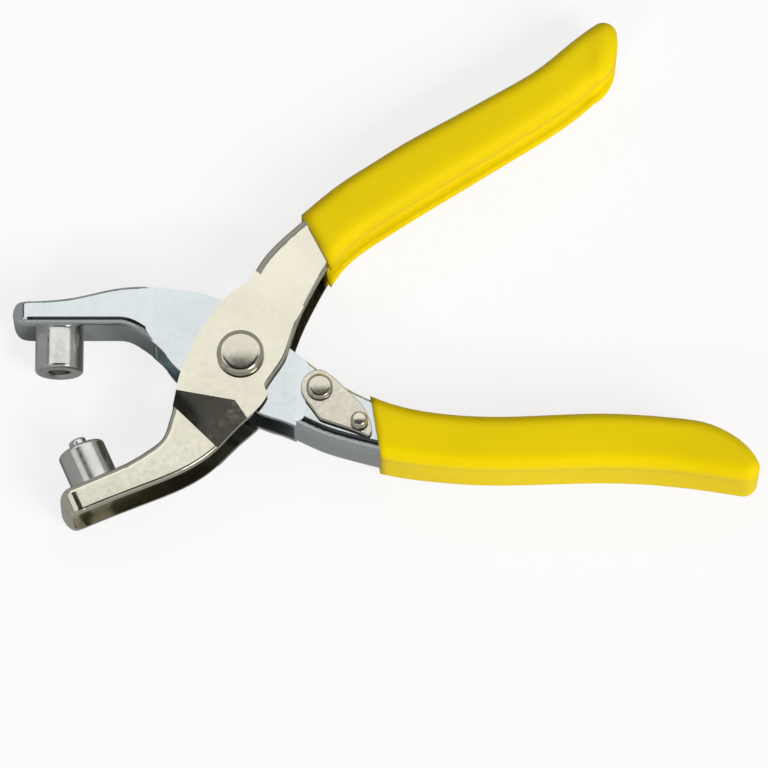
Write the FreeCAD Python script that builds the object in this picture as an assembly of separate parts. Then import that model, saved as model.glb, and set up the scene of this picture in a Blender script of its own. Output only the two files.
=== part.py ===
import FreeCAD, Part
import math
import os

# Hand eyelet-setting pliers: two pressed sheet-steel levers of channel section cross at one
# rivet. The inner lever carries the anvil die and runs to the lower right handle. The outer
# lever straddles it, carries the setter die and runs to the upper right handle. Both handles
# are dipped in vinyl. A swinging latch plate on the inner lever props the handles shut.
# Millimetres. The pliers lie flat: their plane is XY, +Z is up, the jaws point along -X, and
# the origin is the middle of the flat rear rivet head, on the surface that they rest on.
# Every solid is modelled about the levers' middle plane and lifted to its height at the end.

V = FreeCAD.Vector

# ---- sheet, rivet and widths ---------------------------------------------------------------
sheet = 1.5                # thickness of the pressed steel
cheek_gap = 0.1            # running gap between the cheeks of the two levers
inner_waist_half = 6.15    # half width of the inner lever at the rivet
inner_half = 6.9           # half width of the inner lever at its jaw and handle
outer_jaw_half = 6.95      # half width of the outer lever at its jaw
outer_handle_half = 6.9    # half width of the outer lever at its handle
outer_waist_half = inner_waist_half + cheek_gap + sheet

rivet_radius = 2.5
rivet_clearance = 0.05     # radial running clearance in both levers
head_radius = 5.1          # domed front head
head_height = 2.3
head_rim = 0.5             # straight rim below the dome
rear_head_radius = 5.0
rear_head_thickness = 0.5
rear_head_edge = 0.25
dome_shoulder = 0.34       # radius of a dome's shoulder as a share of the head's radius
dome_crown = 0.07          # share of a dome's rise that lies above the shoulder
rest_height = outer_waist_half + rear_head_thickness

# ---- bends and edges -----------------------------------------------------------------------
jaw_bend = 1.6             # outer radius of the bend along each jaw
handle_bend = 2.5          # outer radius of the bend along each handle
edge_round = 0.7           # rounding of the free cheek edges
tip_round = 4.1            # rounding of the closed jaw tips, across the sheet
inner_nose_web = 3.0       # rounding of their corners, seen from above
inner_nose_back = 2.5
outer_nose_web = 3.4
outer_nose_chin = 3.0

# ---- inner lever ---------------------------------------------------------------------------
anvil_web = 7.0            # from the rivet's axis up to the outer face of the anvil jaw's web
inner_tip = 48.6           # from the rivet's axis to the tip of the anvil jaw
inner_jaw_depth = 5.3      # from that web to the free edges at the tip
jaw_ramp_wide = -20.2      # the cheeks step in from here ...
jaw_ramp_narrow = -18.4    # ... to here
handle_ramp_lean = -5.0    # direction of the ramps at the start of the handle
handle_ramp_narrow = 12.6
handle_ramp_wide = 14.6
ramp_overlap = 0.5         # overlap of the jaw, waist and handle where they are joined

# ---- outer lever ---------------------------------------------------------------------------
setter_lean = 23.9         # turn that closes the jaws; the open setter leans by as much
setter_web = 11.85         # from the rivet's axis down to the web, along the setter's axis
setter_web_start = 33.2    # where that web becomes straight, along the setter jaw
outer_tip = 47.9           # from the rivet's axis to the tip, along the setter jaw
outer_jaw_depth = 6.35
jaw_step_angle = 225.3     # direction that the step to the setter jaw faces
jaw_step = 17.95           # distance of the foot of that step from the rivet's axis
neck_angle = 52.0          # direction of the neck
neck_ramp_start = 13.0     # the cheeks draw in along the neck from here ...
neck_web_start = 16.6      # ... past the end of the web ...
neck_ramp_end = 26.0       # ... to here

# ---- dies ----------------------------------------------------------------------------------
die_arm = 38.7             # from the rivet's axis to the axis of each die
die_radius = 5.15
die_rim = 0.8
anvil_length = 9.0
setter_length = 8.5
recess_radius = 2.35       # hollow of the anvil, which curls the eyelet
recess_depth = 2.4
recess_lip = 0.4
pilot_radius = 1.9
pilot_length = 2.1
pilot_round = 0.6
shank_radius = 2.2
shank_fit = 0.02           # radial clearance of the shanks in the webs
shank_head_radius = 3.2    # spun-over end of each shank, inside the channel
shank_head_height = 0.9

# ---- grips ---------------------------------------------------------------------------------
grip_wall = 0.9            # vinyl on the bends, the free edges and the ends
grip_round = 2.6
grip_corner = 3.0
groove_depth = 1.7         # hollow of the vinyl over the open side of the channel
groove_half = 4.8
groove_floor = 0.9         # rounding along the foot of its sides
groove_rim = 0.7           # rounding along its rims
groove_run = 14.0          # straight on from the end of the steel, to fade out in the tip
film = 1.1                 # vinyl that bridges the open side
lower_channel = (25.0, 103.0)   # hollow that stays open under each grip, along the X axis
upper_channel = (20.0, 94.0)    # and along the neck

# ---- return spring -------------------------------------------------------------------------
sleeve_wall = 0.9          # spacer sleeve on the rivet, between the inner cheeks
sleeve_play = 0.1
wire = 1.3
coil_clearance = 0.4
coil_gap = 0.3             # between neighbouring turns
coil_turns = 4             # whole turns between the two legs
arm_turns = 0.5            # the end of the coil that swings with the outer leg
leg_gap = 0.05             # between each leg and the web that it presses on
seam_gap = 0.003           # in turns, between that end and the rest of the coil
inner_leg_near = (19.5, -18.8)
outer_leg_near = (8.0, 26.0)

# ---- latch ---------------------------------------------------------------------------------
latch_at = (16.8, -7.55)
latch_sheet = 1.2
latch_lift = 0.1           # the latch swings this far above the cheek
latch_nose = 4.0           # radius of the plate about its rivet
latch_corner = 0.7
latch_edge = 0.3
latch_rivet_radius = 1.4
latch_play = 0.06          # radial play of the plate on its rivet
latch_head_radius = 2.85
latch_head_height = 1.5
latch_head_rim = 0.3
latch_foot_radius = 2.3
latch_foot_height = 0.7
knob_at = (25.2, -15.0)
knob_radius = 1.9
knob_height = 2.0
knob_rim = 0.6
knob_shank = 0.9
knob_fit = 0.02


# ---- curves and blocks ---------------------------------------------------------------------
def point(xy, z=0.0):
    return V(xy[0], xy[1], z)


def curve(points, start=None, end=None):
    """Smooth curve through the points, with optional end directions."""
    spline = Part.BSplineCurve()
    places = [point(p) for p in points]
    if start:
        spline.interpolate(Points=places, InitialTangent=point(start), FinalTangent=point(end))
    else:
        spline.interpolate(Points=places)
    return spline


def line(a, b):
    return Part.LineSegment(point(a), point(b))


def ends(path):
    a = path.value(path.FirstParameter)
    b = path.value(path.LastParameter)
    return (a.x, a.y), (b.x, b.y)


def shifted(path, distance, count=16):
    """Curve alongside a path, at a distance to its left."""
    first, last = path.FirstParameter, path.LastParameter
    places = []
    for step in range(count + 1):
        u = first + (last - first) * step / count
        along_path = path.tangent(u)[0]
        place = path.value(u) + V(-along_path.y, along_path.x, 0) * distance
        places.append((place.x, place.y))
    return curve(places)


def chain(*paths):
    """Face inside the paths, joined in order by straight lines where they leave a gap."""
    edges = []
    for index, path in enumerate(paths):
        edges.append(path.toShape())
        here = ends(path)[1]
        there = ends(paths[(index + 1) % len(paths)])[0]
        if math.dist(here, there) > 0.001:
            edges.append(line(here, there).toShape())
    return Part.Face(Part.Wire(edges))


def slab(face, half):
    """The face thickened by the same amount above and below the middle plane."""
    solid = face.extrude(V(0, 0, 2 * half))
    solid.translate(V(0, 0, -half))
    return solid


def along(angle, forward, left=0.0):
    """Place reached from the rivet's axis by going forward at an angle, then left."""
    c, s = math.cos(math.radians(angle)), math.sin(math.radians(angle))
    return (forward * c - left * s, forward * s + left * c)


def beyond(angle, distance, reach=200.0):
    """Space that lies further than a distance from the rivet's axis, in one direction."""
    box = Part.makeBox(reach, 2 * reach, reach, V(distance, -reach, -reach / 2))
    box.rotate(V(0, 0, 0), V(0, 0, 1), angle)
    return box


def between(solid, angle, near, far=None):
    part = solid.common(beyond(angle, near))
    if far is not None:
        part = part.cut(beyond(angle, far))
    return part


def middle(edge):
    return edge.valueAt((edge.FirstParameter + edge.LastParameter) / 2)


def runs_along(edge, direction):
    tangent = edge.tangentAt((edge.FirstParameter + edge.LastParameter) / 2)
    return abs(tangent.dot(direction)) > 0.99


def follows(edge, paths):
    """True for an edge that lies over one of the paths, above or below the middle plane."""
    if runs_along(edge, V(0, 0, 1)):
        return False
    at = middle(edge)
    flat = V(at.x, at.y, 0)
    return any((p.value(p.parameter(flat)) - flat).Length < 0.01 for p in paths)


def rounded(solid, radius, edges):
    return solid.makeFillet(radius, edges)


def round_paths(solid, radius, paths):
    return rounded(solid, radius, [e for e in solid.Edges if follows(e, paths)])


def ramps(angle, start, start_half, end, end_half):
    """Metal taken off both cheeks where they slope from one half width to a smaller one."""
    reach = 100.0
    top = max(start_half, end_half) + 5
    profile = [V(start, -reach, start_half), V(end, -reach, end_half),
               V(end, -reach, top), V(start, -reach, top), V(start, -reach, start_half)]
    upper = Part.Face(Part.makePolygon(profile)).extrude(V(0, 2 * reach, 0))
    upper.rotate(V(0, 0, 0), V(0, 0, 1), angle)
    lower = upper.mirror(V(0, 0, 0), V(0, 0, 1))
    return [upper, lower]


def cylinder(radius, height, base, axis=V(0, 0, 1)):
    return Part.makeCylinder(radius, height, base, axis)


def united(parts):
    return parts[0].fuse(parts[1:]).removeSplitter()


# ---- outlines, seen from above -------------------------------------------------------------
# Inner lever: back and belly are its upper and lower sides, the web runs along the belly.
inner_back = curve([(-inner_tip, anvil_web + inner_jaw_depth), (-40.6, 12.35),
                    (-34.3, 13.2), (-27.9, 14.7), (-21.5, 15.4), (-13, 14.8), (-3.4, 12.2),
                    (3.4, 7.2), (10.2, 1.9), (16, -2.75), (23, -7.5), (33.8, -12),
                    (42.3, -13.6), (55.1, -14.3), (76.4, -13.6), (93.4, -14.7),
                    (97.3, -15.3), (101.4, -16.8), (105.3, -19.3)])
inner_belly = curve([(107.2, -26.7), (97.7, -25.2), (84.9, -23.9), (67.9, -23.85),
                     (50.9, -24.1), (42.3, -23.5), (33.8, -22.4), (23, -19.8),
                     (17.4, -18.0), (11.6, -15.3), (8.6, -14.05)])
inner_waist = curve([(8.6, -14.05), (3.6, -12.3), (-4.5, -8.1), (-12.5, -3.5), (-16, 0.6)])
inner_throat = curve([(-16, 0.6), (-21.5, 5.3), (-26, anvil_web)], (-0.6, 0.75), (-1, 0))
inner_jaw_web = line((-26, anvil_web), (-inner_tip, anvil_web))

# Outer lever: the spine, brow, throat and jaw web are its upper left side, with the web
# along all but the brow. The chin and the nape are its lower right side.
jaw_angle = 180 + setter_lean
jaw_web_root = along(jaw_angle, setter_web_start, setter_web)
outer_spine = curve([(76.0, 73.6), (70.5, 69.3), (64.1, 63.9), (55.6, 58.6), (45, 52.5),
                     (34.3, 46.35), (27.9, 42.15), (21.6, 37.9), (13.4, 30.9), (5.9, 23.6),
                     (2.2, 17.4)])
outer_brow = curve([(1.4, 15.8), (-3.4, 12.4), (-6.6, 8.3), (-9.3, 4), (-11.3, -0.5),
                    (-12.9, -4.7), (-13.7, -8.5), (-14.3, -11.2)])
outer_throat = curve([(-14.3, -11.2), (-15.0, -14.1), (-16.4, -18.0), (-19.6, -20.8),
                      jaw_web_root],
                     (-0.1, -1), along(jaw_angle, 1.0))
outer_jaw_web = line(jaw_web_root, along(jaw_angle, outer_tip, setter_web))
outer_chin = curve([along(jaw_angle, outer_tip, setter_web + outer_jaw_depth),
                    (-27.9, -32.2), (-19.4, -28.8), (-10.9, -25.0), (-5.5, -21.2),
                    (-0.2, -15.7), (4.6, -11.0), (5.75, -9.1)])
step_brow = [(-17.0, -7.3), (-1.1, -10.2), (1.8, -14.6)]   # top of the step to the jaw
step_foot = [-5.0, 8.0, 17.2]          # places to the left along its foot
outer_nape = curve([(5.3, -7.6), (7.7, -3.8), (9.6, -0.65), (10.6, 2.25), (12.8, 8.7),
                    (14.9, 13.2), (18.1, 19.2), (21.2, 23.8), (29.1, 30.3), (37.6, 35.9),
                    (46.1, 41.3), (54.6, 46.7), (63.1, 52.1), (71.6, 58.2), (75.2, 61.4)])


# ---- levers --------------------------------------------------------------------------------
def inner_lever_body():
    outline = chain(inner_back, inner_belly, inner_waist, inner_throat, inner_jaw_web)
    wide = slab(outline, inner_half)
    jaw = wide.cut(beyond(0, jaw_ramp_narrow))
    jaw = rounded(jaw, tip_round,
                  [e for e in jaw.Edges
                   if abs(middle(e).x + inner_tip) < 0.01 and runs_along(e, V(0, 1, 0))])
    for side, radius, paths in ((anvil_web, jaw_bend, [inner_throat, inner_jaw_web]),
                                (anvil_web + inner_jaw_depth, edge_round, [inner_back])):
        tip_rim = [e for e in jaw.Edges
                     if middle(e).x < tip_round - inner_tip and abs(middle(e).y - side) < 0.02]
        jaw = rounded(jaw, radius,
                      tip_rim + [e for e in jaw.Edges
                                   if follows(e, paths) and not holds(tip_rim, e)])
    handle = between(wide, handle_ramp_lean, handle_ramp_narrow)
    handle = round_paths(handle, handle_bend, [inner_belly])
    handle = round_paths(handle, edge_round, [inner_back])
    waist = slab(outline, inner_waist_half)
    waist = between(waist, 0, jaw_ramp_narrow - ramp_overlap)
    waist = waist.cut(beyond(handle_ramp_lean, handle_ramp_narrow + ramp_overlap))
    steps = (ramps(0, jaw_ramp_wide, inner_half, jaw_ramp_narrow, inner_waist_half)
             + ramps(handle_ramp_lean, handle_ramp_narrow, inner_waist_half,
                     handle_ramp_wide, inner_half))
    return united([jaw.cut(steps), handle.cut(steps), waist])


def holds(edges, edge):
    return any(edge.isSame(other) for other in edges)


def inner_lever_hollow():
    half = inner_half - sheet
    away = 30.0
    web = shifted(inner_throat, -sheet)
    root = ends(web)[0]
    end = (-inner_tip + sheet, anvil_web + sheet)
    jaw = slab(chain(web, line(ends(web)[1], end), line(end, (end[0], away)),
                     line((end[0], away), (root[0], away))), half)
    jaw = rounded(jaw, tip_round - sheet,
                  [e for e in jaw.Edges
                   if abs(middle(e).x - end[0]) < 0.01 and runs_along(e, V(0, 1, 0))])
    jaw = jaw.cut(beyond(0, jaw_ramp_narrow))
    belly = shifted(inner_belly, -sheet)
    first, last = ends(belly)
    handle = slab(chain(belly, line((last[0], away), (first[0] + away, away)),
                        line((first[0] + away, away), (first[0] + away, first[1]))), half)
    handle = round_paths(handle, handle_bend - sheet, [belly])
    handle = between(handle, handle_ramp_lean, handle_ramp_narrow)
    narrow = inner_waist_half - sheet
    waist = Part.makeBox(2 * away, 2 * away, 2 * narrow,
                         V(jaw_ramp_narrow - ramp_overlap / 5, -away, -narrow))
    waist = waist.cut(beyond(handle_ramp_lean, handle_ramp_narrow + ramp_overlap / 5))
    steps = (ramps(0, jaw_ramp_wide, half, jaw_ramp_narrow, narrow)
             + ramps(handle_ramp_lean, handle_ramp_narrow, narrow, handle_ramp_wide, half))
    return united([jaw.cut(steps), handle.cut(steps), waist])


def nose_corner(angle, forward, left, side, radius):
    """Metal outside the rounded corner of a jaw's tip."""
    short = radius * (1 - math.sqrt(0.5))
    arc = Part.Arc(point(along(angle, forward - radius, left)),
                   point(along(angle, forward - short, left - side * short)),
                   point(along(angle, forward, left - side * radius)))
    far = along(angle, forward + 1, left - side * radius)
    corner = along(angle, forward + 1, left + side)
    near = along(angle, forward - radius, left + side)
    return slab(chain(arc, line(far, corner), line(corner, near)), 2 * inner_half)


def rivet_hole(half):
    return cylinder(rivet_radius + rivet_clearance, 2 * half + 4, V(0, 0, -half - 2))


def inner_lever(hollow):
    solid = inner_lever_body().cut(hollow)
    holes = [rivet_hole(inner_waist_half),
             cylinder(latch_rivet_radius, inner_half + 1, point(latch_at)),
             cylinder(shank_radius + shank_fit, sheet + 2,
                      V(-die_arm, anvil_web - 1, 0), V(0, 1, 0))]
    corners = [nose_corner(180, inner_tip, -anvil_web, 1, inner_nose_web),
               nose_corner(180, inner_tip, -anvil_web - inner_jaw_depth, -1,
                           inner_nose_back)]
    return solid.cut(holes + corners)


def wedge_step(drop):
    """Metal taken off both cheeks at the step to the setter jaw, which widens to the chin."""
    high = outer_waist_half - drop
    low = outer_jaw_half - drop
    top = high + 5
    sections = []
    for a, left in zip(step_brow, step_foot):
        b = along(jaw_step_angle, jaw_step, left)
        sections.append(Part.makePolygon([point(a, high), point(b, low), point(b, top),
                                          point(a, top), point(a, high)]))
    upper = Part.makeLoft(sections, True, True)
    return [upper, upper.mirror(V(0, 0, 0), V(0, 0, 1))]


def neck_ramps(drop):
    return ramps(neck_angle, neck_ramp_start, outer_waist_half - drop,
                 neck_ramp_end, outer_handle_half - drop)


def tip_edges(solid, forward):
    """Edges of the setter jaw's end face that stand across the sheet."""
    u = along(jaw_angle, 1.0)
    found = []
    for edge in solid.Edges:
        at = middle(edge)
        if abs(at.x * u[0] + at.y * u[1] - forward) < 0.01 and abs(at.z) > 1:
            found.append(edge)
    return found


def outer_lever_body():
    outline = chain(outer_spine, outer_brow, outer_throat, outer_jaw_web, outer_chin,
                    outer_nape)
    jaw = between(slab(outline, outer_jaw_half), jaw_step_angle, jaw_step)
    jaw = rounded(jaw, tip_round, tip_edges(jaw, outer_tip))
    start = outer_tip - tip_round
    u = along(jaw_angle, 1.0)
    for side, radius, path in ((setter_web, jaw_bend, outer_throat),
                               (setter_web + outer_jaw_depth, edge_round, outer_chin)):
        rim = []
        for edge in jaw.Edges:
            at = middle(edge)
            forward = at.x * u[0] + at.y * u[1]
            left = at.y * u[0] - at.x * u[1]
            level = abs(left - side) < 0.02 and forward > start
            straight = side == setter_web and follows(edge, [outer_jaw_web])
            if level or straight or follows(edge, [path]):
                rim.append(edge)
        jaw = rounded(jaw, radius, rim)
    waist = slab(outline, outer_waist_half)
    waist = waist.cut(beyond(jaw_step_angle, jaw_step)).cut(beyond(neck_angle, neck_web_start))
    waist = round_paths(waist, edge_round, [outer_nape])
    neck = between(slab(outline, outer_waist_half), neck_angle, neck_web_start, neck_ramp_end)
    neck = neck.cut(neck_ramps(0))
    neck = round_paths(neck, handle_bend, [outer_spine])
    neck = round_paths(neck, edge_round, [outer_nape])
    handle = between(slab(outline, outer_handle_half), neck_angle, neck_ramp_end)
    handle = round_paths(handle, handle_bend, [outer_spine])
    handle = round_paths(handle, edge_round, [outer_nape])
    waist = waist.cut(neck_ramps(0) + wedge_step(0))
    return united([waist, jaw, neck, handle])


def outer_lever_hollow():
    away = 40.0
    throat = shifted(outer_throat, sheet)
    end = along(jaw_angle, outer_tip - sheet, setter_web + sheet)
    below = along(jaw_angle, outer_tip - sheet, setter_web + away)
    root = ends(throat)[0]
    jaw = slab(chain(throat, line(ends(throat)[1], end), line(end, below),
                     line(below, along(jaw_angle, -10.0, setter_web + away))),
               outer_jaw_half - sheet)
    jaw = rounded(jaw, tip_round - sheet, tip_edges(jaw, outer_tip - sheet))
    jaw = between(jaw, jaw_step_angle, jaw_step)
    spine = shifted(outer_spine, sheet)
    first, last = ends(spine)
    rear = slab(chain(spine, line((last[0] + away, last[1] - away),
                                  (first[0] + away, first[1] - away))),
                outer_waist_half - sheet)
    neck = between(rear, neck_angle, neck_web_start, neck_ramp_end).cut(neck_ramps(sheet))
    handle = between(slab(chain(spine, line((last[0] + away, last[1] - away),
                                            (first[0] + away, first[1] - away))),
                          outer_handle_half - sheet), neck_angle, neck_ramp_end)
    waist = Part.makeBox(3 * away, 3 * away, 2 * (outer_waist_half - sheet),
                         V(-1.5 * away, -1.5 * away, sheet - outer_waist_half))
    waist = waist.cut(beyond(jaw_step_angle, jaw_step)).cut(beyond(neck_angle, neck_web_start))
    waist = waist.cut(neck_ramps(sheet) + wedge_step(sheet))
    return united([waist, jaw, neck, handle])


def outer_lever(hollow):
    solid = outer_lever_body().cut(hollow)
    seat = along(jaw_angle, die_arm, setter_web - 1)
    away_from_die = point(along(jaw_angle, 0, 1))
    holes = [rivet_hole(outer_waist_half),
             cylinder(shank_radius + shank_fit, sheet + 2, point(seat), away_from_die)]
    corners = [nose_corner(jaw_angle, outer_tip, setter_web, -1, outer_nose_web),
               nose_corner(jaw_angle, outer_tip, setter_web + outer_jaw_depth, 1,
                           outer_nose_chin)]
    return solid.cut(holes + corners)


# ---- rivet, sleeve and spring --------------------------------------------------------------
def turned(profile, axis_at=(0.0, 0.0)):
    """Solid turned about a vertical axis from straight and arc pieces given as (radius, z)."""
    edges = []
    for piece in profile:
        places = [V(r, 0, z) for r, z in piece]
        if len(places) == 2:
            edges.append(Part.makeLine(places[0], places[1]))
        else:
            edges.append(Part.Arc(places[0], places[1], places[2]).toShape())
    solid = Part.Face(Part.Wire(edges)).revolve(V(0, 0, 0), V(0, 0, 1), 360)
    solid.translate(point(axis_at))
    return solid


def domed_profile(radius, rim, height, base):
    """Half section of a domed head: a rim, a rounded shoulder and a flatter crown."""
    shoulder = dome_shoulder * radius
    flat = radius - shoulder
    rise = height - rim
    crown = dome_crown * rise
    bow = (flat ** 2 + crown ** 2) / (2 * crown)
    lift = bow - math.sqrt(bow ** 2 - (flat / 2) ** 2)
    bulge = math.sqrt(0.5)
    return [[(radius, base), (radius, base + rim)],
            [(radius, base + rim),
             (flat + shoulder * bulge, base + rim + (rise - crown) * bulge),
             (flat, base + height - crown)],
            [(flat, base + height - crown), (flat / 2, base + height - lift),
             (0, base + height)]]


def pivot_rivet():
    bottom = -outer_waist_half - rear_head_thickness
    top = outer_waist_half
    edge = rear_head_edge
    profile = [[(0, bottom), (rear_head_radius - edge, bottom)],
               [(rear_head_radius - edge, bottom), (rear_head_radius, bottom + edge)],
               [(rear_head_radius, bottom + edge), (rear_head_radius, -outer_waist_half)],
               [(rear_head_radius, -outer_waist_half), (rivet_radius, -outer_waist_half)],
               [(rivet_radius, -outer_waist_half), (rivet_radius, top)],
               [(rivet_radius, top), (head_radius, top)]]
    profile += domed_profile(head_radius, head_rim, head_height, top)
    profile.append([(0, top + head_height), (0, bottom)])
    return turned(profile)


def sleeve_radius():
    return rivet_radius + rivet_clearance + sleeve_wall


def spring_sleeve():
    half = inner_waist_half - sheet - sleeve_play
    tube = cylinder(sleeve_radius(), 2 * half, V(0, 0, -half))
    return tube.cut(cylinder(rivet_radius + rivet_clearance, 2 * half, V(0, 0, -half)))


def coil_radius():
    return sleeve_radius() + coil_clearance + wire / 2


def spring_foot(web, near, inward):
    """Place where a leg lies against the inner face of a handle's web."""
    u = web.parameter(point(near))
    way = web.tangent(u)[0]
    place = web.value(u) + V(-way.y, way.x, 0) * inward * (sheet + wire / 2 + leg_gap)
    return (place.x, place.y)


def leg_root(foot, side):
    """Angle on the coil where the straight leg to a foot leaves it."""
    turn = math.degrees(math.acos(coil_radius() / math.hypot(*foot)))
    return math.degrees(math.atan2(foot[1], foot[0])) + side * turn


def inner_leg_foot():
    return spring_foot(inner_belly, inner_leg_near, -1)


def outer_leg_foot():
    return spring_foot(outer_spine, outer_leg_near, 1)


def all_turns():
    """Turns of the coil from the root of the inner leg to the root of the outer leg."""
    opening = leg_root(inner_leg_foot(), -1) + 360 - leg_root(outer_leg_foot(), 1)
    return coil_turns + opening / 360


def spring_piece(first, last, leg_at, foot):
    """Stretch of the coil, counted in turns, with a straight leg at one of its ends."""
    coil = coil_radius()
    pitch = wire + coil_gap
    start = leg_root(inner_leg_foot(), -1)
    bottom = -pitch * all_turns() / 2
    helix = Part.makeHelix(pitch, pitch * (last - first), coil)
    section = Part.Wire(Part.makeCircle(wire / 2, V(coil, 0, 0), V(0, 1, 0)))
    spring = Part.Wire(helix.Edges).makePipeShell([section], True, True)
    spring = spring.mirror(V(0, 0, 0), V(0, 1, 0))
    spring.rotate(V(0, 0, 0), V(0, 0, 1), start - 360 * first)
    spring.translate(V(0, 0, bottom + pitch * first))
    level = bottom + pitch * leg_at
    root = point(along(start - 360 * leg_at, coil), level)
    leg = point(foot, level) - root
    return spring.fuse([cylinder(wire / 2, leg.Length, root, leg),
                        Part.makeSphere(wire / 2, root),
                        Part.makeSphere(wire / 2, point(foot, level))])


def spring_coil():
    """Most of the coil, with the leg that presses on the inner lever's handle."""
    return spring_piece(0, all_turns() - arm_turns - seam_gap, 0, inner_leg_foot())


def spring_arm():
    """End of the coil, with the leg that presses on the outer lever's handle."""
    turns = all_turns()
    return spring_piece(turns - arm_turns, turns, turns, outer_leg_foot())


# ---- dies ----------------------------------------------------------------------------------
def die(length, top):
    """Die standing on z = 0 and rising to its length, with its shank and spun end below."""
    rim = die_rim
    lean = rim * (1 - math.sqrt(0.5))
    under = -sheet
    profile = [[(shank_radius, 0), (die_radius, 0)],
               [(die_radius, 0), (die_radius, length - rim)],
               [(die_radius, length - rim), (die_radius - lean, length - lean),
                (die_radius - rim, length)]]
    profile += top
    profile += [[(0, under - shank_head_height), (shank_head_radius * 0.7,
                                                  under - shank_head_height)],
                [(shank_head_radius * 0.7, under - shank_head_height),
                 (shank_head_radius, under)],
                [(shank_head_radius, under), (shank_radius, under)],
                [(shank_radius, under), (shank_radius, 0)]]
    return turned(profile)


def seat(solid, place, direction):
    solid.rotate(V(0, 0, 0), V(0, 1, 0), 90)
    angle = math.degrees(math.atan2(direction[1], direction[0]))
    solid.rotate(V(0, 0, 0), V(0, 0, 1), angle)
    solid.translate(point(place))
    return solid


def anvil_die():
    mouth = recess_radius + recess_lip
    floor = anvil_length - recess_depth
    top = [[(die_radius - die_rim, anvil_length), (mouth, anvil_length)],
           [(mouth, anvil_length), (recess_radius, anvil_length - recess_lip)],
           [(recess_radius, anvil_length - recess_lip), (recess_radius, floor)],
           [(recess_radius, floor), (0, floor)],
           [(0, floor), (0, -sheet - shank_head_height)]]
    return seat(die(anvil_length, top), (-die_arm, anvil_web), (0, -1))


def setter_die():
    crown = setter_length + pilot_length
    lean = pilot_round * (1 - math.sqrt(0.5))
    top = [[(die_radius - die_rim, setter_length), (pilot_radius, setter_length)],
           [(pilot_radius, setter_length), (pilot_radius, crown - pilot_round)],
           [(pilot_radius, crown - pilot_round), (pilot_radius - lean, crown - lean),
            (pilot_radius - pilot_round, crown)],
           [(pilot_radius - pilot_round, crown), (0, crown)],
           [(0, crown), (0, -sheet - shank_head_height)]]
    return seat(die(setter_length, top), along(jaw_angle, die_arm, setter_web),
                along(jaw_angle, 0, -1))


# ---- grips ---------------------------------------------------------------------------------
def stretch(path, a, b):
    """Part of a path between the places nearest to two points."""
    cut = path.copy()
    u = sorted(path.parameter(point(q)) for q in (a, b))
    cut.segment(u[0], u[1])
    return cut


def ribbon(low, high):
    """Face between two paths that run side by side."""
    low_ends, high_ends = ends(low), ends(high)
    return Part.Face(Part.Wire([low.toShape(), line(low_ends[1], high_ends[1]).toShape(),
                                high.toShape(), line(high_ends[0], low_ends[0]).toShape()]))


def upright_at(solid, place):
    """Edges that stand on one place of the outline."""
    return [e for e in solid.Edges
            if runs_along(e, V(0, 0, 1)) and (middle(e) - point(place)).Length < 0.01]


def grip_side(path, outward):
    """Outer face of the vinyl over one side of a handle."""
    return shifted(path, outward * grip_wall, 24)


def grip_form(open_side, web_side, end, outward):
    """Solid outside of a grip: rounded all along, and cut off straight at its front."""
    outer_open = grip_side(open_side, outward)
    outer_web = grip_side(web_side, outward)
    tip = ends(end)[1]
    form = slab(chain(outer_open, end, line(tip, ends(outer_web)[0]), outer_web), rest_height)
    form = rounded(form, grip_corner, upright_at(form, tip))
    front = line(ends(outer_web)[1], ends(outer_open)[0])
    return rounded(form, grip_round,
                   [e for e in form.Edges
                    if abs(abs(middle(e).z) - rest_height) < 0.01 and not follows(e, [front])])


def run_on(path, way):
    """Straight line that carries on from the end of a path."""
    start = ends(path)[1]
    return line(start, (start[0] + way.x, start[1] + way.y))


def with_groove(form, open_side, groove_path, end, outward, reach=6.0):
    """The form with the shallow hollow that vinyl keeps between the cheeks of a channel."""
    floor = shifted(groove_path, outward * (grip_wall - groove_depth), 24)
    proud = shifted(groove_path, outward * reach, 24)
    onward = groove_path.tangent(groove_path.LastParameter)[0] * groove_run
    floor_end = run_on(floor, onward)
    proud_end = run_on(proud, onward)
    outline = [floor, floor_end, line(ends(floor_end)[1], ends(proud_end)[1]), proud_end,
               proud, line(ends(proud)[0], ends(floor)[0])]
    groove = slab(Part.Face(Part.Wire([piece.toShape() for piece in outline])), groove_half)
    groove = round_paths(groove, groove_floor, [floor, floor_end])
    form = form.cut(groove)
    surface = [grip_side(open_side, outward), end]
    rims = [e for e in form.Edges
            if follows(e, surface) and abs(abs(middle(e).z) - groove_half) < 0.02]
    return rounded(form, groove_rim, rims)


def fitted(form, open_side, outward, lever, hollow):
    """The form opened for the steel, and for the channel below its bridge of vinyl."""
    bridge_foot = shifted(open_side, outward * (grip_wall - groove_depth - film), 24)
    surface = grip_side(open_side, outward)
    bridge = slab(ribbon(bridge_foot, surface), rest_height)
    return form.cut([lever, hollow.cut(bridge)])


def lower_grip(lever, hollow):
    open_side = stretch(inner_back, (27.0, -9.9), ends(inner_back)[1])
    web_side = stretch(inner_belly, ends(inner_belly)[0], (29.9, -21.6))
    groove_path = stretch(inner_back, (23.0, -7.5), ends(inner_back)[1])
    end = curve([ends(grip_side(open_side, 1))[1], (108.6, -21.6), (110.2, -25.3),
                 (110.3, -27.9)])
    form = grip_form(open_side, web_side, end, 1)
    form = with_groove(form, open_side, groove_path, end, 1)
    return fitted(form, open_side, 1, lever, between(hollow, 0, *lower_channel))


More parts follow.
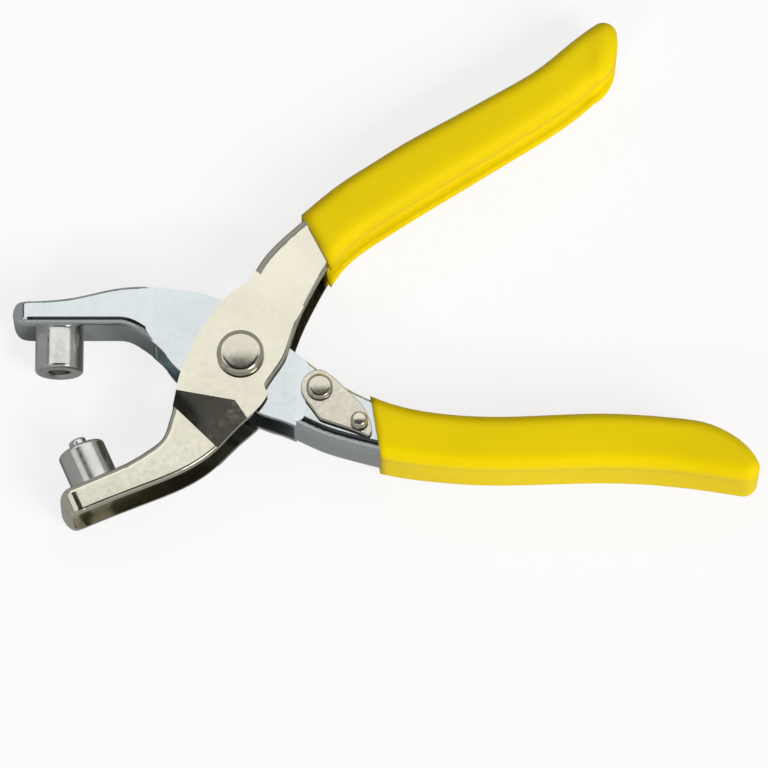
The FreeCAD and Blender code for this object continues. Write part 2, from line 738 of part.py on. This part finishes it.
def upper_grip(lever, hollow):
    open_side = stretch(outer_nape, (18.4, 19.7), ends(outer_nape)[1])
    web_side = stretch(outer_spine, ends(outer_spine)[0], (13.4, 30.9))
    groove_path = stretch(outer_nape, (15.5, 14.4), ends(outer_nape)[1])
    end = curve([ends(grip_side(open_side, -1))[1], (79.3, 64.4), (80.6, 69.8),
                 (79.6, 77.3)])
    form = grip_form(open_side, web_side, end, -1)
    form = with_groove(form, open_side, groove_path, end, -1)
    return fitted(form, open_side, -1, lever, between(hollow, neck_angle, *upper_channel))


# ---- latch ---------------------------------------------------------------------------------
def latch_base():
    return inner_half + latch_lift


def latch_plate():
    """Tear-shaped plate: a round nose about its rivet and a tail that drops into the notch."""
    nose = [point((latch_at[0] + latch_nose * math.cos(math.radians(a)),
                   latch_at[1] + latch_nose * math.sin(math.radians(a))))
            for a in (80, 150, 218)]
    upper = curve([(27.9, -17.3), (27.3, -14.3), (25.7, -11.3), (22.3, -7.7), (19.6, -5.1),
                   (nose[0].x, nose[0].y)])
    lower = curve([(16.9, -14.5), (20.9, -15.9), (24.3, -17.1), (27.3, -18.5)])
    outline = chain(Part.Arc(*nose), lower, upper)
    plate = outline.extrude(V(0, 0, latch_sheet))
    upright = [e for e in plate.Edges if runs_along(e, V(0, 0, 1))
               and (middle(e) - nose[0]).Length > latch_sheet
               and (middle(e) - nose[2]).Length > latch_sheet]
    plate = rounded(plate, latch_corner, upright)
    plate = rounded(plate, latch_edge,
                    [e for e in plate.Edges if middle(e).z > latch_sheet - 0.01])
    plate = plate.cut([cylinder(latch_rivet_radius + latch_play, latch_sheet, point(latch_at)),
                       cylinder(knob_shank + knob_fit, latch_sheet, point(knob_at))])
    plate.translate(V(0, 0, latch_base()))
    return plate


def latch_rivet():
    under = inner_half - sheet
    head = latch_base() + latch_sheet + latch_lift
    profile = [[(0, under - latch_foot_height), (latch_foot_radius * 0.75,
                                                 under - latch_foot_height)],
               [(latch_foot_radius * 0.75, under - latch_foot_height),
                (latch_foot_radius, under)],
               [(latch_foot_radius, under), (latch_rivet_radius, under)],
               [(latch_rivet_radius, under), (latch_rivet_radius, head)],
               [(latch_rivet_radius, head), (latch_head_radius, head)]]
    profile += domed_profile(latch_head_radius, latch_head_rim, latch_head_height, head)
    profile.append([(0, head + latch_head_height), (0, under - latch_foot_height)])
    return turned(profile, latch_at)


def latch_knob():
    top = latch_base() + latch_sheet
    profile = [[(0, latch_base()), (knob_shank, latch_base())],
               [(knob_shank, latch_base()), (knob_shank, top)],
               [(knob_shank, top), (knob_radius, top)]]
    profile += domed_profile(knob_radius, knob_rim, knob_height, top)
    profile.append([(0, top + knob_height), (0, latch_base())])
    return turned(profile, knob_at)


# ---- assembly ------------------------------------------------------------------------------
def build():
    inner_hollow = inner_lever_hollow()
    outer_hollow = outer_lever_hollow()
    inner = inner_lever(inner_hollow)
    outer = outer_lever(outer_hollow)
    return {
        "inner_lever": inner,
        "outer_lever": outer,
        "pivot_rivet": pivot_rivet(),
        "spring_sleeve": spring_sleeve(),
        "spring_coil": spring_coil(),
        "spring_arm": spring_arm(),
        "anvil_die": anvil_die(),
        "setter_die": setter_die(),
        "lower_grip": lower_grip(inner, inner_hollow),
        "upper_grip": upper_grip(outer, outer_hollow),
        "latch_plate": latch_plate(),
        "latch_rivet": latch_rivet(),
        "latch_knob": latch_knob(),
    }


os.makedirs("parts", exist_ok=True)
for name, solid in build().items():
    solid.translate(V(0, 0, rest_height))
    solid.exportStep("parts/%s.step" % name)
    print(name, solid.isValid(), len(solid.Solids), round(solid.Volume, 1))
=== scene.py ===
import math

import bmesh
import bpy
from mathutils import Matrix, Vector


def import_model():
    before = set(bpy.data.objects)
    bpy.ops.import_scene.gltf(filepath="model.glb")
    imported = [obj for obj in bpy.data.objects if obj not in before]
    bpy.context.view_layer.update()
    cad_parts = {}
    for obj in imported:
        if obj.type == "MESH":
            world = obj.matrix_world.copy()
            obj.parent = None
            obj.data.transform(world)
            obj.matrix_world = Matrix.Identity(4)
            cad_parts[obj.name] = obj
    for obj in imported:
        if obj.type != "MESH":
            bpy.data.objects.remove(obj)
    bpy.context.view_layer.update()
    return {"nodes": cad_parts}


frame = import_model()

# The pliers lie flat on the floor with their front side up. Every piece is a CAD node as it is:
# this script makes their materials, the floor, the lamps and the camera. Lengths are in metres.
MM = 0.001
nodes = frame["nodes"]


# ---- node trees ----------------------------------------------------------------------------
class Tree:
    """Short ways to fill the node tree of a material or a world."""

    def __init__(self, owner):
        owner.use_nodes = True
        self.nodes = owner.node_tree.nodes
        self.links = owner.node_tree.links

    def add(self, kind, **inputs):
        """New node with the given inputs."""
        node = self.nodes.new(kind)
        self.fill(node, **inputs)
        return node

    def fill(self, node, **inputs):
        """Set inputs by their names, each to a plain value or to another node's output."""
        for name, value in inputs.items():
            socket = node.inputs[name.replace("_", " ")]
            if isinstance(value, bpy.types.NodeSocket):
                self.links.new(value, socket)
            else:
                socket.default_value = value

    def noise(self, scale, detail, rough, stretch=(1, 1, 1)):
        """Noise on the object's own coordinates, with the scale per metre."""
        coords = self.add("ShaderNodeTexCoord")
        mapping = self.add("ShaderNodeMapping", Vector=coords.outputs["Object"], Scale=stretch)
        node = self.add("ShaderNodeTexNoise", Vector=mapping.outputs["Vector"], Scale=scale,
                        Detail=detail, Roughness=rough)
        return node.outputs["Fac"]

    def blend(self, fac, shade, color, start, stop):
        """Colour from shade to color as fac goes from start to stop."""
        node = self.add("ShaderNodeValToRGB", Fac=fac)
        first, last = node.color_ramp.elements
        first.position = start
        first.color = (*shade, 1)
        last.position = stop
        last.color = (*color, 1)
        return node.outputs["Color"]

    def spread(self, fac, low, high, start, stop):
        """Value from low to high as fac goes from start to stop."""
        node = self.add("ShaderNodeMapRange", Value=fac, From_Min=start, From_Max=stop,
                        To_Min=low, To_Max=high)
        return node.outputs["Result"]

    def bump(self, height, strength, distance, **below):
        """Bumped normal, over the one given as Normal."""
        node = self.add("ShaderNodeBump", Height=height, Strength=strength, Distance=distance,
                        **below)
        return node.outputs["Normal"]

    def softened(self, radius):
        """Normal averaged over a small radius."""
        node = self.add("ShaderNodeBevel", Radius=radius)
        node.samples = 12
        return node.outputs["Normal"]

    def by_ray(self, ray, usual, special, share=1.0):
        """The usual shader, with a share of the special one for rays of one kind."""
        path = self.add("ShaderNodeLightPath")
        part = self.nodes.new("ShaderNodeMath")
        part.operation = "MULTIPLY"
        part.inputs[1].default_value = share
        self.links.new(path.outputs[ray], part.inputs[0])
        mix = self.add("ShaderNodeMixShader", Fac=part.outputs["Value"])
        self.links.new(usual, mix.inputs[1])
        self.links.new(special, mix.inputs[2])
        return mix.outputs["Shader"]

    def white_to_camera(self, usual, share=1.0):
        """Plain white, in a share, where the camera sees the surface directly."""
        white = self.add("ShaderNodeEmission", Color=(1, 1, 1, 1), Strength=1.0)
        return self.by_ray("Is Camera Ray", usual, white.outputs["Emission"], share)


# ---- materials -----------------------------------------------------------------------------
def new_material(name):
    """New material, its tree and its main shader."""
    material = bpy.data.materials.new(name)
    tree = Tree(material)
    return material, tree, tree.nodes["Principled BSDF"]


def plating(name, color, shade, rough, ripple):
    """Bright plate over pressed sheet: faint ripples of the sheet and a fine tumbled haze."""
    material, tree, shader = new_material(name)
    haze = tree.noise(scale=900, detail=3, rough=0.6)
    cloud = tree.noise(scale=70, detail=3, rough=0.55)
    wave = tree.noise(scale=45, detail=1, rough=0.4)
    sheet = tree.bump(wave, strength=ripple, distance=1.2 * MM)
    tree.fill(shader, Metallic=1.0,
              Base_Color=tree.blend(cloud, shade, color, start=0.3, stop=0.65),
              Roughness=tree.spread(haze, low=0.8 * rough, high=1.35 * rough, start=0.3, stop=0.7),
              Normal=tree.bump(haze, strength=0.05, distance=0.05 * MM, Normal=sheet))
    return material


def turned_steel(name, color, rough):
    """Plain steel from the lathe or the wire drawer, a little darker in patches."""
    material, tree, shader = new_material(name)
    grain = tree.noise(scale=1400, detail=3, rough=0.6)
    cloud = tree.noise(scale=160, detail=2, rough=0.5)
    darker = 0.86
    shade = tuple(darker * channel for channel in color)
    tree.fill(shader, Metallic=1.0,
              Base_Color=tree.blend(cloud, shade, color, start=0.35, stop=0.65),
              Roughness=tree.spread(grain, low=0.8 * rough, high=1.3 * rough, start=0.3, stop=0.7),
              Normal=tree.bump(grain, strength=0.08, distance=0.04 * MM))
    return material


def vinyl(name, color, shade, softness):
    """Dipped vinyl. It flows, so its edges look softer than its solid by a radius."""
    material, tree, shader = new_material(name)
    peel = tree.noise(scale=420, detail=2, rough=0.5)
    flow = tree.noise(scale=60, detail=2, rough=0.5, stretch=(0.35, 1, 1))
    skin = tree.bump(flow, strength=0.25, distance=0.6 * MM, Normal=tree.softened(softness))
    tree.fill(shader, Specular_IOR_Level=0.08, IOR=1.5,
              Base_Color=tree.blend(flow, shade, color, start=0.35, stop=0.65),
              Roughness=tree.spread(peel, low=0.30, high=0.42, start=0.3, stop=0.7),
              Normal=tree.bump(peel, strength=0.05, distance=0.06 * MM, Normal=skin))
    return material


def coat(material, *names):
    """Give one material to the named CAD nodes."""
    for name in names:
        mesh = nodes[name].data
        mesh.materials.clear()
        mesh.materials.append(material)


def coat_all():
    """The inner lever's plate is cooler than the outer one's, as in the photo."""
    coat(plating("inner plating", color=(0.73, 0.78, 0.785), shade=(0.68, 0.735, 0.75),
                 rough=0.12, ripple=0.06), "inner_lever")
    coat(plating("outer plating", color=(0.84, 0.81, 0.67), shade=(0.77, 0.735, 0.60),
                 rough=0.12, ripple=0.04), "outer_lever")
    coat(plating("rivet plating", color=(0.76, 0.72, 0.60), shade=(0.70, 0.665, 0.55),
                 rough=0.16, ripple=0.08), "pivot_rivet", "latch_rivet", "latch_knob")
    coat(plating("latch plating", color=(0.84, 0.79, 0.67), shade=(0.76, 0.71, 0.59),
                 rough=0.18, ripple=0.15), "latch_plate")
    coat(turned_steel("die steel", color=(0.80, 0.79, 0.76), rough=0.2),
         "anvil_die", "setter_die")
    coat(turned_steel("sleeve steel", color=(0.40, 0.40, 0.39), rough=0.35), "spring_sleeve")
    coat(turned_steel("spring wire", color=(0.30, 0.30, 0.30), rough=0.3),
         "spring_coil", "spring_arm")
    coat(vinyl("lower vinyl", color=(0.80, 0.60, 0.0015), shade=(0.73, 0.54, 0.001),
               softness=2.6 * MM), "lower_grip")
    # The upper grip has the lower grip's vinyl, painted about 4% darker: painted shade, not a
    # different vinyl.
    coat(vinyl("upper vinyl painted darker", color=(0.77, 0.575, 0.0015), shade=(0.71, 0.52, 0.001),
               softness=4.2 * MM), "upper_grip")


# ---- stage ---------------------------------------------------------------------------------
def floor():
    """Pale floor, white to the camera but for a faint shadow, and grey in reflections."""
    half_width = 3.0
    clearance = 0.05 * MM      # below the tool's underside
    white_share = 0.8          # the rest is lit by the lamps, and shows the shadow
    mesh = bpy.data.meshes.new("floor")
    grid = bmesh.new()
    bmesh.ops.create_grid(grid, x_segments=1, y_segments=1, size=half_width)
    grid.to_mesh(mesh)
    grid.free()
    plane = bpy.data.objects.new("floor", mesh)
    plane.location = (0, 0, -clearance)
    bpy.context.scene.collection.objects.link(plane)

    material, tree, shader = new_material("floor")
    tree.fill(shader, Base_Color=(0.85, 0.85, 0.85, 1), Roughness=0.7)
    grey = tree.add("ShaderNodeBsdfDiffuse", Color=(0.33, 0.33, 0.33, 1))
    lit = tree.by_ray("Is Glossy Ray", shader.outputs["BSDF"], grey.outputs["BSDF"])
    tree.fill(tree.nodes["Material Output"], Surface=tree.white_to_camera(lit, white_share))
    mesh.materials.append(material)


def world():
    """Nearly dark room, white to the camera. In reflections its walls are a grey band, which
    fades out between 30 and 34 degrees above the horizon."""
    dark = 0.015
    room = bpy.data.worlds.new("studio")
    bpy.context.scene.world = room
    tree = Tree(room)
    ceiling = tree.nodes["Background"]
    tree.fill(ceiling, Color=(0.9, 0.95, 1.0, 1), Strength=dark)
    coords = tree.add("ShaderNodeTexCoord")
    way = tree.add("ShaderNodeSeparateXYZ", Vector=coords.outputs["Generated"])
    band = tree.spread(way.outputs["Z"], low=0.42, high=dark, start=0.50, stop=0.56)
    walls = tree.add("ShaderNodeBackground", Color=(0.8, 0.8, 0.8, 1), Strength=band)
    lit = tree.by_ray("Is Glossy Ray", ceiling.outputs["Background"],
                      walls.outputs["Background"])
    tree.fill(tree.nodes["World Output"], Surface=tree.white_to_camera(lit))


# ---- lamps ---------------------------------------------------------------------------------
def lamp(name, kind, energy, lights=True, reflected=True):
    """Lamp that lights surfaces, or is reflected in them, or both."""
    data = bpy.data.lights.new(name, kind)
    data.energy = energy
    light = bpy.data.objects.new(name, data)
    light.visible_diffuse = lights
    light.visible_glossy = reflected
    bpy.context.scene.collection.objects.link(light)
    return light


def panel(name, place, size, brightness, turn=(0, 0, 0), **seen):
    """Softbox that faces down, and is then turned about X, Y and Z. A brightness of 1 is white."""
    width, depth = size
    light = lamp(name, "AREA", brightness * math.pi * width * depth, **seen)
    light.data.shape = "RECTANGLE"
    light.data.size = width
    light.data.size_y = depth
    light.location = place
    light.rotation_euler = [math.radians(angle) for angle in turn]


def sun(name, way, power, spread, **seen):
    """Far lamp in the direction way, which fills an angle of spread degrees."""
    light = lamp(name, "SUN", power, **seen)
    light.data.angle = math.radians(spread)
    light.rotation_mode = "QUATERNION"
    light.rotation_quaternion = Vector(way).to_track_quat("Z", "Y")


def lamps():
    """Soft light from the right front, and panels placed for what the plating reflects."""
    leaning_left = (0, -75, 0)
    leaning_right = (0, 75, 0)
    leaning_back = (50, 0, 0)
    key_way = (0.57, -0.53, 0.63)

    # The flats reflect the overhead panel. Its near edge stays out of the dark step's view.
    panel("overhead", place=(0.10, 0.667, 1.0), size=(2.4, 0.866), brightness=1.04)
    panel("left", place=(-1.1, 0.2, 0.33), size=(0.5, 1.4), brightness=0.6,
          turn=leaning_left, reflected=False)
    panel("right", place=(1.2, 0.4, 0.33), size=(0.5, 1.8), brightness=0.6,
          turn=leaning_right, reflected=False)

    # These are for the dies, the rivet heads, the rounded edges and the views from low down.
    panel("top", place=(0.03, 0.02, 1.0), size=(0.36, 0.42), brightness=0.06, lights=False)
    panel("high left", place=(-0.98, -0.13, 1.0), size=(0.85, 0.73), brightness=0.8,
          lights=False)
    panel("low left", place=(-1.1, -0.25, 0.33), size=(0.5, 0.7), brightness=0.5,
          turn=leaning_left, lights=False)
    panel("high right", place=(1.0, -0.13, 1.0), size=(0.8, 0.73), brightness=0.4,
          lights=False)
    panel("front", place=(0.1, -1.3, 1.2), size=(3.0, 0.9), brightness=0.4,
          turn=leaning_back, lights=False)

    # The key light is too strong for a mirror, so a weaker one takes its place in reflections.
    sun("key", key_way, power=2.5, spread=34, reflected=False)
    sun("glint", key_way, power=0.30, spread=20)
    sun("fill", way=(-0.35, -0.75, 0.55), power=0.9, spread=6, reflected=False)


# ---- camera --------------------------------------------------------------------------------
def camera():
    """Long lens. Its tilt, scale and aim put the tool where the photo has it."""
    picture = 768                                # pixels across
    pixels_per_mm = 4.7
    aim = Vector((30.43, -4.30, 8.25)) * MM      # in the middle of the picture
    tilt = math.radians(72.95)                   # above the tool's plane
    data = bpy.data.cameras.new("camera")
    data.lens = 350
    data.sensor_width = 36
    data.clip_start = 0.05
    data.clip_end = 20
    distance = picture / pixels_per_mm * MM * data.lens / data.sensor_width
    back = Vector((0, -math.cos(tilt), math.sin(tilt)))
    view = bpy.data.objects.new("camera", data)
    view.rotation_mode = "QUATERNION"
    view.location = aim + back * distance
    view.rotation_quaternion = (-back).to_track_quat("-Z", "Y")
    bpy.context.scene.collection.objects.link(view)
    bpy.context.scene.camera = view


coat_all()
floor()
world()
lamps()
camera()
bpy.context.scene.view_settings.view_transform = "Standard"
